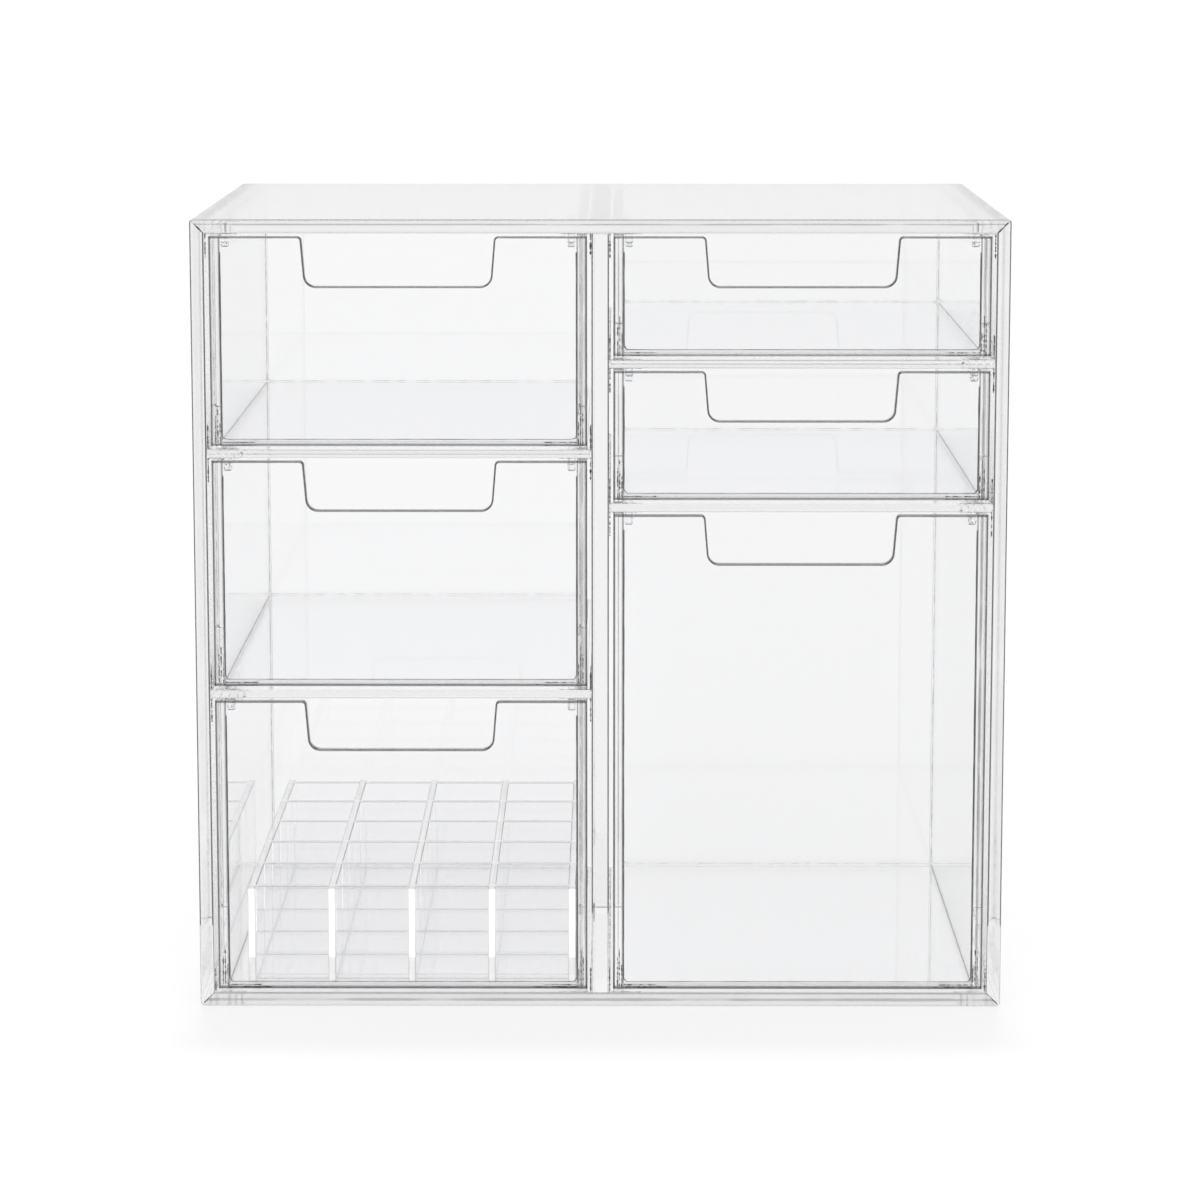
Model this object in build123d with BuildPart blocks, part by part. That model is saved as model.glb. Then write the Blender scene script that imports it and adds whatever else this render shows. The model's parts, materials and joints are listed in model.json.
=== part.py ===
"""Clear drawer organizer: a case of bonded clear sheets, six sliding drawers and a lipstick divider.

All sizes are millimetres. +Z is up and the drawers open towards -Y. The origin is in the middle
of the case's underside.
"""

from build123d import *
import os

# Case, outside
case_width = 300.0
case_depth = 216.0
case_height = 295.0
case_corner_radius = 1.4

# Case sheets
frame_sheet = 5.2
divider_sheet = 6.4
shelf_sheet = 3.2
case_back_sheet = 3.0
shelf_setback = 0.4

# Cement line between bonded sheets, and the polished edges: a round on the case's and the drawers'
# front edges, and a flat break on all the others
bond_line = 0.06
frame_front_round = 0.7
drawer_front_round = 0.9
edge_break = 0.5
insert_edge_break = 0.3
floor_edge_break = 0.15

# Drawer sheets
drawer_front_sheet = 4.0
drawer_side_sheet = 3.9
drawer_back_sheet = 3.9
drawer_floor_sheet = 2.4

# The floor and the front end this far above the lower edges of the sides, which the drawer runs on
drawer_floor_lift = 0.4
drawer_front_lift = 0.9

# Drawer running clearances in its bay
drawer_side_gap = 1.6
drawer_under_gap = 0.3
drawer_head_gap = 1.1
drawer_rear_gap = 1.0
drawer_setback = 0.8

# Heights of the upper two drawers in each column; the bottom drawer takes the height that is left
left_top_drawer_height = 78.0
left_middle_drawer_height = 85.2
right_top_drawer_height = 44.8
right_middle_drawer_height = 48.6

# Finger notch in the top edge of each drawer front
notch_top_width = 70.4
notch_bottom_width = 67.4
notch_depth = 18.2
notch_lip_radius = 1.7
notch_corner_radius = 4.0

# Stop blocks, a pair under the panel above each drawer, just behind the drawer front
stop_width = 3.0
stop_length = 30.0
stop_overlap = 4.1
stop_side_gap = 0.4
stop_front_gap = 0.6

# Lipstick divider, loose in the bottom left drawer
insert_sheet = 2.8
insert_height = 36.0
insert_columns = 4
insert_rows = 5
insert_overhang = 3.0
insert_end_gap = 0.6
insert_left_gap = 7.1
insert_right_gap = 0.5
insert_under_gap = 0.2
slot_clearance = 0.15

# Places worked out from the sizes
front_y = -case_depth / 2
rear_y = case_depth / 2
back_panel_y = rear_y - case_back_sheet
inner_x = case_width / 2 - frame_sheet
base_top_z = frame_sheet
ceiling_z = case_height - frame_sheet
drawer_front_y = front_y + drawer_setback
drawer_rear_y = back_panel_y - drawer_rear_gap
drawer_travel = (
    drawer_rear_y - drawer_back_sheet
    - (drawer_front_y + drawer_front_sheet + stop_front_gap + stop_length)
)

os.makedirs("parts", exist_ok=True)


def save(built, name):
    """Label a finished piece and write it."""
    built.part.label = name
    export_step(built.part, f"parts/{name}.step")


def sheet(x_span, y_span, z_span, edge=edge_break, crossings=(), slot_size=None, slot_depth=0.0):
    """A flat rectangular sheet between three pairs of faces, with its edges broken.

    Slots may be cut into it at the crossings: from its top edge down where the depth is
    negative, and from its bottom edge up where it is positive.
    """
    with BuildPart() as built:
        with BuildSketch(Plane.XY.offset(z_span[0])):
            with Locations(((x_span[0] + x_span[1]) / 2, (y_span[0] + y_span[1]) / 2)):
                Rectangle(x_span[1] - x_span[0], y_span[1] - y_span[0])
        extrude(amount=z_span[1] - z_span[0])
        chamfer(built.edges(), length=edge)
        if crossings:
            with BuildSketch(Plane.XY.offset(z_span[1] if slot_depth < 0 else z_span[0])):
                with Locations(*crossings):
                    Rectangle(*slot_size)
            extrude(amount=slot_depth, mode=Mode.SUBTRACT)
    return built


def edges_off_mitre(end):
    """The edges of a frame member's end face, apart from the two on its 45 degree mitres."""
    edges = end.edges()
    return edges.filter_by(Axis.X) + edges.filter_by(Axis.Z) + edges.filter_by(GeomType.CIRCLE)


def frame_member(wedge):
    """One side of the mitred outer frame: the part of the frame's section inside a wedge."""
    with BuildPart() as built:
        with BuildSketch(Plane.XZ.offset(-front_y)):
            with Locations((0, case_height / 2)):
                RectangleRounded(case_width, case_height, case_corner_radius)
                Rectangle(
                    case_width - 2 * frame_sheet,
                    case_height - 2 * frame_sheet,
                    mode=Mode.SUBTRACT,
                )
            Polygon(*wedge, align=None, mode=Mode.INTERSECT)
        extrude(amount=-case_depth)
        fillet(edges_off_mitre(built.faces().sort_by(Axis.Y)[0]), frame_front_round)
        chamfer(edges_off_mitre(built.faces().sort_by(Axis.Y)[-1]), length=edge_break)
    return built


def make_frame():
    """Four mitred sheets: two sides, the top and the base."""
    half = case_width / 2
    # Half of the cement line, measured along a side from the 45 degree mitre
    mitre_gap = bond_line / 2 * 2 ** 0.5
    for name, hand in (("case_left_side", -1), ("case_right_side", 1)):
        side = frame_member(
            [
                (hand * half, mitre_gap),
                (hand * (half - frame_sheet), frame_sheet + mitre_gap),
                (hand * (half - frame_sheet), case_height - frame_sheet - mitre_gap),
                (hand * half, case_height - mitre_gap),
            ]
        )
        save(side, name)
    for name, outer_z, inner_z in (
        ("case_base", 0, frame_sheet),
        ("case_top", case_height, case_height - frame_sheet),
    ):
        panel = frame_member(
            [
                (-half + mitre_gap, outer_z),
                (-half + frame_sheet + mitre_gap, inner_z),
                (half - frame_sheet - mitre_gap, inner_z),
                (half - mitre_gap, outer_z),
            ]
        )
        save(panel, name)


def make_back_and_divider():
    """The back panel, let in between the frame's sheets, and the upright divider in front of it."""
    back = sheet(
        (-inner_x + bond_line, inner_x - bond_line),
        (back_panel_y, rear_y),
        (base_top_z + bond_line, ceiling_z - bond_line),
    )
    save(back, "case_back")
    divider = sheet(
        (-divider_sheet / 2, divider_sheet / 2),
        (front_y, back_panel_y - bond_line),
        (base_top_z + bond_line, ceiling_z - bond_line),
    )
    save(divider, "case_divider")


def make_shelf(name, bay, top_z):
    """A shelf bonded between a side and the divider."""
    shelf = sheet(
        (bay[0] + bond_line, bay[1] - bond_line),
        (front_y + shelf_setback, back_panel_y - bond_line),
        (top_z - shelf_sheet, top_z),
    )
    save(shelf, name)


def make_stops(name, bay, ceiling):
    """Two stop blocks, bonded under the panel above a drawer, just inside the drawer's sides."""
    reach = drawer_side_gap + drawer_side_sheet + stop_side_gap
    start_y = drawer_front_y + drawer_front_sheet + stop_front_gap
    drop = drawer_head_gap + stop_overlap
    with BuildPart() as stops:
        with BuildSketch(Plane.XY.offset(ceiling - bond_line)):
            for x in (bay[0] + reach + stop_width / 2, bay[1] - reach - stop_width / 2):
                with Locations((x, start_y + stop_length / 2)):
                    Rectangle(stop_width, stop_length)
        extrude(amount=-(drop - bond_line))
        chamfer(stops.edges(), length=edge_break)
    save(stops, name)


def drawer_front(x_span, z_span):
    """The front sheet of a drawer, with the finger notch cut in the middle of its top edge.

    The edges of both its faces are rounded, so that the notch is smooth under a finger.
    """
    middle = (x_span[0] + x_span[1]) / 2
    top, sill = z_span[1], z_span[1] - notch_depth
    with BuildPart() as built:
        with BuildSketch(Plane.XZ.offset(-drawer_front_y)) as face:
            Polygon(
                (x_span[0], z_span[0]),
                (x_span[1], z_span[0]),
                (x_span[1], top),
                (middle + notch_top_width / 2, top),
                (middle + notch_bottom_width / 2, sill),
                (middle - notch_bottom_width / 2, sill),
                (middle - notch_top_width / 2, top),
                (x_span[0], top),
                align=None,
            )
            # By height: the bottom corners, then the sill's, then the top edge's four.
            fillet(face.vertices().group_by(Axis.Y)[1], notch_corner_radius)
            lips = face.vertices().group_by(Axis.Y)[-1].sort_by(Axis.X)[1:-1]
            fillet(lips, notch_lip_radius)
        extrude(amount=-drawer_front_sheet)
        fillet(built.faces().sort_by(Axis.Y)[0].edges(), drawer_front_round)
        fillet(built.faces().sort_by(Axis.Y)[-1].edges(), drawer_front_round)
    return built


def make_drawer(name, bay, z_span):
    """A drawer: front and back, two sides and a floor, bonded edge to face."""
    left, right = bay[0] + drawer_side_gap, bay[1] - drawer_side_gap
    front_back_y = drawer_front_y + drawer_front_sheet
    inner_left, inner_right = left + drawer_side_sheet, right - drawer_side_sheet
    front = drawer_front((left, right), (z_span[0] + drawer_front_lift, z_span[1]))
    save(front, f"{name}_front")
    for hand, x_span in (("left", (left, inner_left)), ("right", (inner_right, right))):
        side = sheet(x_span, (front_back_y + bond_line, drawer_rear_y), z_span)
        save(side, f"{name}_{hand}_side")
    between = (inner_left + bond_line, inner_right - bond_line)
    back = sheet(between, (drawer_rear_y - drawer_back_sheet, drawer_rear_y), z_span)
    save(back, f"{name}_back")
    floor_bottom_z = z_span[0] + drawer_floor_lift
    floor = sheet(
        between,
        (front_back_y + bond_line, drawer_rear_y - drawer_back_sheet - bond_line),
        (floor_bottom_z, floor_bottom_z + drawer_floor_sheet),
        edge=floor_edge_break,
    )
    save(floor, f"{name}_floor")


def make_column(hand, bay, upper_heights):
    """One column of three drawers, from the top down, with the shelves and stops between them."""
    names = ("top", "middle", "bottom")
    ceiling = ceiling_z
    spans = []
    for name, height in zip(names, (*upper_heights, None)):
        drawer_top = ceiling - drawer_head_gap
        shelf_top = base_top_z
        if height is not None:
            shelf_top = drawer_top - height - drawer_under_gap
        z_span = (shelf_top + drawer_under_gap, drawer_top)
        make_stops(f"{hand}_{name}_stops", bay, ceiling)
        make_drawer(f"{hand}_{name}_drawer", bay, z_span)
        if height is not None:
            make_shelf(f"{hand}_{'upper' if name == 'top' else 'lower'}_shelf", bay, shelf_top)
        spans.append(z_span)
        ceiling = shelf_top - shelf_sheet
    return spans


def make_insert(bay, drawer_bottom_z):
    """The lipstick divider: lengthwise and crosswise sheets, slotted halfway into each other."""
    left = bay[0] + drawer_side_gap + drawer_side_sheet + insert_left_gap
    right = bay[1] - drawer_side_gap - drawer_side_sheet - insert_right_gap
    front = drawer_front_y + drawer_front_sheet + insert_end_gap
    rear = drawer_rear_y - drawer_back_sheet - insert_end_gap
    bottom = drawer_bottom_z + drawer_floor_lift + drawer_floor_sheet + insert_under_gap
    top = bottom + insert_height
    column_pitch = (right - left - insert_sheet) / insert_columns
    row_pitch = (rear - front - 2 * insert_overhang - insert_sheet) / insert_rows
    long_xs = [left + insert_sheet / 2 + i * column_pitch for i in range(insert_columns + 1)]
    cross_ys = [
        front + insert_overhang + insert_sheet / 2 + i * row_pitch for i in range(insert_rows + 1)
    ]
    slot_width = insert_sheet + 2 * slot_clearance
    slot_depth = insert_height / 2 + slot_clearance / 2
    slot_length = 2 * insert_sheet
    half = insert_sheet / 2

    for count, x in enumerate(long_xs, start=1):
        long_sheet = sheet(
            (x - half, x + half),
            (front, rear),
            (bottom, top),
            edge=insert_edge_break,
            crossings=[(x, y) for y in cross_ys],
            slot_size=(slot_length, slot_width),
            slot_depth=-slot_depth,
        )
        save(long_sheet, f"insert_long_sheet_{count}")
    for count, y in enumerate(cross_ys, start=1):
        cross_sheet = sheet(
            (left, right),
            (y - half, y + half),
            (bottom, top),
            edge=insert_edge_break,
            crossings=[(x, y) for x in long_xs],
            slot_size=(slot_width, slot_length),
            slot_depth=slot_depth,
        )
        save(cross_sheet, f"insert_cross_sheet_{count}")


left_bay = (-inner_x, -divider_sheet / 2)
right_bay = (divider_sheet / 2, inner_x)

make_frame()
make_back_and_divider()
left_spans = make_column("left", left_bay, (left_top_drawer_height, left_middle_drawer_height))
right_spans = make_column("right", right_bay, (right_top_drawer_height, right_middle_drawer_height))
make_insert(left_bay, left_spans[-1][0])

print(f"drawer travel up to the stops: {drawer_travel:.1f} mm")
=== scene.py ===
"""Clear drawer organizer: the finish of its clear sheets, its stage, its light and its camera.

Every length is in metres unless its name says otherwise. +Z is up and the drawers open towards -Y.
"""

import json
import math

import bpy
from bpy.props import FloatProperty, FloatVectorProperty, PointerProperty
from mathutils import Euler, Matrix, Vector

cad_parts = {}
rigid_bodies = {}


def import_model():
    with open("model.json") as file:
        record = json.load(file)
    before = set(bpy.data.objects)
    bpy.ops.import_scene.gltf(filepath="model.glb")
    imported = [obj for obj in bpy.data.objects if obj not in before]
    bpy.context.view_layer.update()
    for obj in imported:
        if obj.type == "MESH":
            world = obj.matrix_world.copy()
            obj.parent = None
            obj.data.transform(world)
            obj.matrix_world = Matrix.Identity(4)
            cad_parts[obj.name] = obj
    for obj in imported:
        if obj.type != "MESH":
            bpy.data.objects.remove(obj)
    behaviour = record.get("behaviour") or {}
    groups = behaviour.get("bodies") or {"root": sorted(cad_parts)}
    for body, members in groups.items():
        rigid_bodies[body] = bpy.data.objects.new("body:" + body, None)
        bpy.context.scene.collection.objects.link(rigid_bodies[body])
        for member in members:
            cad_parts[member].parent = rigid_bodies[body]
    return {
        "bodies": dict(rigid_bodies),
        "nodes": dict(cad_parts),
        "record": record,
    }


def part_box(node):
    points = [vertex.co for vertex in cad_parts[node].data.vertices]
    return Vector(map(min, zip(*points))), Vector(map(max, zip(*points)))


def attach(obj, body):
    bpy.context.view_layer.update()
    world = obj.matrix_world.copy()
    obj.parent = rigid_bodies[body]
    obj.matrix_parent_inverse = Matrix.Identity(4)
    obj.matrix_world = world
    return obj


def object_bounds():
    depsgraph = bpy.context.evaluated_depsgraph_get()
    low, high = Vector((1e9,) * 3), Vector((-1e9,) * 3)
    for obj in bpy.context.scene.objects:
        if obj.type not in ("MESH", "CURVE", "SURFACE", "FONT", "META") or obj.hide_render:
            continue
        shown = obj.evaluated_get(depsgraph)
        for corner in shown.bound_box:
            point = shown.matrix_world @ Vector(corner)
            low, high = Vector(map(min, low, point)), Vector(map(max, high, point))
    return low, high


bl_info = {
    "name": "Clear Drawer Organizer",
    "version": (1, 0, 0),
    "blender": (4, 5, 0),
    "location": "3D View > Sidebar > Organizer",
    "description": "Finishes a clear drawer organizer and sets its stage, light and camera",
    "category": "Object",
}

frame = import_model()
CAD_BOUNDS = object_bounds()

AXES = "xyz"
WHITE = (1.0, 1.0, 1.0, 1.0)
BLACK = (0.0, 0.0, 0.0, 1.0)

# The Mix node's sockets for colours, which share their names with those for numbers
MIX_FACTOR, MIX_FIRST, MIX_SECOND, MIX_RESULT = 0, 6, 7, 2

# Kinds of face, told by how far a face's direction goes along an axis, as a cosine. Each kind
# fades in between its two values, and a flat edge fades out. The axis is the sheet's thin one
# for the first two, upwards for a slanted face, and the way back or sideways for the rest.
BROAD = (0.95, 0.995)
FLAT = (0.05, 0.3)
SLANTED = (0.25, 0.5)
FRONT_END = (0.6, 0.8)
REAR_END = (0.7, 0.95)
NOTCH_SIDE = (0.15, 0.3)

SIDEWAYS = (1.0, 0.0, 0.0)
UPWARDS = (0.0, 0.0, 1.0)

# Length of the patches in the painted shade lines on the ends of the panels, and of the patches on
# the ends of the other sheets
PANEL_PATCHES = 0.03
SHEET_PATCHES = 0.02


def tint(name, description, colour):
    """A colour that a user may change."""
    return FloatVectorProperty(
        name=name, description=description, subtype="COLOR", size=3, min=0, max=1, default=colour
    )


def share(name, description, value):
    """A share from 0 to 1 that a user may change."""
    return FloatProperty(
        name=name, description=description, subtype="FACTOR", min=0, max=1, default=value
    )


def length(name, description, value, most, **settings):
    """A length from 0 to the most it may be."""
    return FloatProperty(
        name=name, description=description, unit="LENGTH", min=0, max=most, default=value,
        **settings,
    )


def angle(name, description, degrees):
    """An angle given in degrees."""
    return FloatProperty(
        name=name, description=description, subtype="ANGLE", min=-math.pi, max=math.pi,
        default=math.radians(degrees),
    )


class OrganizerSheets(bpy.types.PropertyGroup):
    """The clear sheets that the organizer is made of."""

    case_tint: tint(
        "Case tint", "Colour that the broad faces of the case pass", (0.985, 0.986, 0.99)
    )
    drawer_tint: tint(
        "Drawer tint", "Colour that the drawers' broad faces pass", (0.99, 0.991, 0.994)
    )
    insert_tint: tint(
        "Divider tint", "Colour that the lipstick divider passes", (0.985, 0.985, 0.987)
    )
    edge_tint: tint("Edge tint", "Colour that the sheets' flat edges pass", (0.97, 0.97, 0.973))
    # Painted shade: the line tints below darken the sheets' rounded edges, where real sheets bend
    # the dark studio into view. Edges that look down and edges behind the front get pale tints.
    upright_line: tint(
        "Upright lines", "Edge lines of the sides and the middle", (0.04, 0.04, 0.042)
    )
    level_line: tint("Level lines", "Edge lines of the top and the base", (0.55, 0.55, 0.555))
    shelf_line: tint("Shelf lines", "Edge lines of the shelves", (0.92, 0.92, 0.922))
    front_line: tint("Front lines", "Upright edge lines of the drawer fronts", (0.05, 0.05, 0.052))
    front_lower_line: tint(
        "Front lower lines", "Lower edge lines of the drawer fronts", (0.22, 0.22, 0.225)
    )
    notch_line: tint(
        "Notch lines", "Upright edge lines of the finger notches", (0.02, 0.02, 0.021)
    )
    front_level_line: tint(
        "Front level lines", "Upper edge lines of the drawer fronts", (0.12, 0.12, 0.125)
    )
    side_upright_line: tint(
        "Joint lines", "Upright edge lines of the drawers' sides", (0.05, 0.05, 0.053)
    )
    side_upper_line: tint(
        "Side upper lines", "Upper edge lines of the drawers' sides", (0.15, 0.15, 0.155)
    )
    lower_line: tint("Lower lines", "Edge lines that look down", (0.92, 0.92, 0.922))
    insert_line: tint("Divider lines", "Edge lines of the lipstick divider", (0.5, 0.5, 0.505))
    stop_line: tint("Stop lines", "Edge lines of the stop blocks", (0.15, 0.15, 0.155))
    rear_line: tint(
        "Rear lines", "Edge lines away from the organizer's front", (0.88, 0.88, 0.882)
    )
    # Painted shade: the rear ends of the base and the top are painted darker, so that the panels
    # look darker through their front ends.
    base_rear_shade_tint: tint(
        "Base rear end", "Colour that the rear end of the base passes", (0.74, 0.74, 0.745)
    )
    top_rear_shade_tint: tint(
        "Top rear end", "Colour that the rear end of the top passes", (0.86, 0.86, 0.863)
    )
    # Painted light: the divider's long sheets' front ends are darkened and glow by emission, as
    # though they gathered light, and glow less in their lowest part.
    end_tint: tint("End tint", "Colour that the divider's bright ends pass", (0.12, 0.12, 0.12))
    end_painted_glow: share("End brightness", "How bright the divider's polished front ends are", 0.95)
    end_clear: length(
        "Lower end", "Height of the divider's front ends that is less bright", 0.009, 0.1
    )
    end_low_share: share("Lower ends", "Brightness of the ends' lowest part, as a share", 0.6)
    band_tint: tint(
        "Joint band", "Colour that the cement film on the sides' ends passes", (0.35, 0.35, 0.353)
    )
    band_width: length(
        "Joint band width", "Width of the cement film on the sides' ends", 0.0008, 0.01, precision=4
    )
    left_band_share: share(
        "Left bands", "Width of the film on left sides, as a share of right ones", 0.35
    )
    # Painted shade: a dark line painted along the front ends of the top and the base, standing in
    # for the dark studio seen through their rounded edges.
    panel_band_tint: tint(
        "Panel band", "Colour of the line along the top's and the base's front ends",
        (0.42, 0.42, 0.423),
    )
    top_band_drop: length(
        "Top band drop", "How far the line on the top's front end is under the top's face",
        0.0018, 0.01, precision=4,
    )
    top_band_width: length(
        "Top band width", "Width of the line on the top's front end", 0.0004, 0.01, precision=4
    )
    base_band_width: length(
        "Base band width", "Width of the line on the base's front end", 0.0009, 0.01, precision=4
    )
    # Painted shade: the lowest part of the case's upright front ends is painted darker, near the
    # base.
    low_end_tint: tint(
        "Low ends", "Colour of the lowest part of the case's upright front ends", (0.9, 0.9, 0.903)
    )
    low_end_height: length(
        "Low end height", "Height of the lowest part of the case's upright front ends", 0.03, 0.1
    )
    streak_tint: tint(
        "Streaks", "Colour of the soft streaks on the case sides' front ends", (0.88, 0.88, 0.883)
    )
    streak_width: length(
        "Streak width", "Width of the streaks on the case sides' front ends",
        0.0022, 0.01, precision=4,
    )
    bead_radius: length(
        "Bead radius", "Radius of the cement beads in the corners", 0.00034, 0.002, precision=5
    )
    rear_bead_share: share(
        "Rear beads", "Radius of the rear beads, as a share of the front ones", 0.8
    )
    bead_level_share: share(
        "Level beads", "Radius of level runs of beads, as a share of upright ones", 0.45
    )
    # The beads are real cement. The dark tints of the beads behind the drawer fronts, of the crumbs
    # and of the mitre beads are painted shade; the same cement elsewhere is pale.
    shaded_bead_tint: tint(
        "Front beads", "Colour that the beads behind the drawer fronts pass", (0.09, 0.09, 0.092)
    )
    pale_bead_tint: tint("Other beads", "Colour that the other beads pass", (0.9, 0.9, 0.902))
    shaded_mitre_tint: tint(
        "Mitre beads", "Colour that the cement in the case's mitres passes", (0.04, 0.04, 0.042)
    )
    front_reach: FloatProperty(
        name="Front reach", description="How far behind the front the edge lines stay dark",
        unit="LENGTH", min=0.001, max=1, default=0.02,
    )
    ior: FloatProperty(
        name="Refractive index", description="How strongly the clear sheets bend light",
        min=1.3, max=1.7, default=1.49,
    )
    darkening: FloatProperty(
        name="Darkening per metre", description="How fast light dies inside the clear sheets",
        min=0, max=20, default=0.15,
    )
    face_roughness: share("Face roughness", "Roughness of the broad faces", 0.0)
    edge_roughness: share("Edge roughness", "Roughness left on the polished edges", 0.03)
    ripple_height: length(
        "Ripple height", "Height of the slow waves in the cast sheet", 0.000002, 0.001, precision=7
    )
    ripple_length: FloatProperty(
        name="Ripple length", description="Length of the slow waves in the cast sheet",
        unit="LENGTH", min=0.001, max=1, default=0.05,
    )


class OrganizerStage(bpy.types.PropertyGroup):
    """The floor, the light and the camera."""

    floor_side: FloatProperty(
        name="Floor side", description="Side of the square floor", unit="LENGTH",
        min=1, max=200, default=60.0,
    )
    floor_drop: length(
        "Floor drop", "How far the floor lies under the organizer", 0.0004, 0.01, precision=5
    )
    floor_tint: tint("Floor tint", "Colour of the floor", (0.9, 0.9, 0.9))
    floor_glow: share("Floor whiteness", "Share of the floor's tone that is plain white", 0.85)
    inside_tone: share(
        "Tone through the sheets", "Tone of the background seen through them", 0.925
    )
    deep_tone: share("Deep tone", "Share of that tone left after many reflections in a sheet", 0.9)
    first_fade: FloatProperty(
        name="First fade", description="Reflections after which the tone starts to fade",
        min=0, max=50, default=1.0,
    )
    last_fade: FloatProperty(
        name="Last fade", description="Reflections after which the tone fades no more",
        min=0, max=50, default=14.0,
    )
    overhead_tone: share("Overhead tone", "Tone of the studio high above, seen in the sheets", 0.3)
    overhead_low: angle("Overhead starts", "Elevation at which the studio starts to darken", 34)
    overhead_high: angle("Overhead ends", "Elevation at which it is darkest", 58)
    ring_tone: FloatProperty(
        name="Ring tone", description="Tone of the bright ring of the studio above the horizon",
        min=0, max=3, default=1.25,
    )
    # Painted shade: the floor to the right is darker where it is seen through the sheets.
    right_tone: share(
        "Right tone", "Tone of the floor to the right, seen through the sheets", 0.97
    )
    ring_low: angle("Ring starts", "Elevation at which the bright ring starts", 8)
    ring_high: angle("Ring full", "Elevation at which the ring is brightest", 22)
    lamp_strength: FloatProperty(
        name="Lamp strength", description="Strength of the lamp, in watts per square metre",
        min=0, max=20, default=1.9,
    )
    lamp_width: angle("Lamp width", "How wide the lamp looks from the floor", 6)
    lamp_lean: angle("Lamp lean", "How far behind the organizer the lamp stands from overhead", 12)
    camera_lens_mm: FloatProperty(
        name="Lens", description="Focal length on a 36 mm sensor, in millimetres",
        min=10, max=500, default=126.28,
    )
    camera_tilt: angle("Camera tilt", "How far the camera looks down from level", 9.10)
    camera_turn: angle("Camera turn", "How far the camera is turned to the left", 0.2237)
    camera_place: FloatVectorProperty(
        name="Camera place", description="Where the camera stands",
        subtype="TRANSLATION", size=3, precision=5, default=(0.00593, -1.6444, 0.40064),
    )


def link(tree, source, target):
    """Join an output to an input."""
    tree.links.new(source, target)


def add(tree, kind, **settings):
    """A node of one kind, with its own settings."""
    node = tree.nodes.new(kind)
    for name, value in settings.items():
        setattr(node, name, value)
    return node


def give(tree, socket, value):
    """Give an input a plain value or the output of another node."""
    if isinstance(value, bpy.types.NodeSocket):
        link(tree, value, socket)
    else:
        socket.default_value = value


def feed(tree, node, **inputs):
    """Give a node's inputs their values by name."""
    for name, value in inputs.items():
        give(tree, node.inputs[name.replace("_", " ")], value)
    return node


def calculate(tree, operation, *values):
    """A Math node on one, two or three values or outputs."""
    node = add(tree, "ShaderNodeMath", operation=operation)
    for socket, value in zip(node.inputs, values):
        give(tree, socket, value)
    return node.outputs[0]


def remap(tree, value, from_low, from_high, to_low, to_high):
    """A smooth ramp between two values, level beyond them."""
    node = add(tree, "ShaderNodeMapRange", interpolation_type="SMOOTHSTEP")
    feed(tree, node, Value=value, From_Min=from_low, From_Max=from_high)
    feed(tree, node, To_Min=to_low, To_Max=to_high)
    return node.outputs["Result"]


def mix_colours(tree, factor, first, second):
    """A colour that goes from the first to the second as the factor goes from 0 to 1."""
    node = add(tree, "ShaderNodeMix", data_type="RGBA")
    give(tree, node.inputs[MIX_FACTOR], factor)
    give(tree, node.inputs[MIX_FIRST], first)
    give(tree, node.inputs[MIX_SECOND], second)
    return node.outputs[MIX_RESULT]


def dot_product(tree, first, second):
    """How far one vector goes along another."""
    node = add(tree, "ShaderNodeVectorMath", operation="DOT_PRODUCT")
    give(tree, node.inputs[0], first)
    give(tree, node.inputs[1], second)
    return node.outputs["Value"]


def parts_of(tree, vector):
    """The X, Y and Z of a vector."""
    return feed(tree, add(tree, "ShaderNodeSeparateXYZ"), Vector=vector).outputs


def noise(tree, vector, wave_length, detail):
    """Noise whose waves have about one length."""
    node = add(tree, "ShaderNodeTexNoise")
    scale = calculate(tree, "DIVIDE", 1.0, wave_length)
    return feed(tree, node, Vector=vector, Scale=scale, Detail=detail).outputs["Fac"]


def new_group(name, kind, inputs, outputs):
    """A node group with its sockets: the group, its inputs' values and its output node."""
    group = bpy.data.node_groups.new(name, kind)
    for in_out, sockets in (("INPUT", inputs), ("OUTPUT", outputs)):
        for label, socket_type in sockets:
            group.interface.new_socket(name=label, in_out=in_out, socket_type=socket_type)
    return group, add(group, "NodeGroupInput").outputs, add(group, "NodeGroupOutput")


def new_material(name):
    """A material with no nodes in it yet."""
    material = bpy.data.materials.new(name)
    material.use_nodes = True
    material.node_tree.nodes.clear()
    return material


def middle_of(node, axis):
    """The middle of a node along one axis."""
    low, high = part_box(node)
    return (low[axis] + high[axis]) / 2


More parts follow.
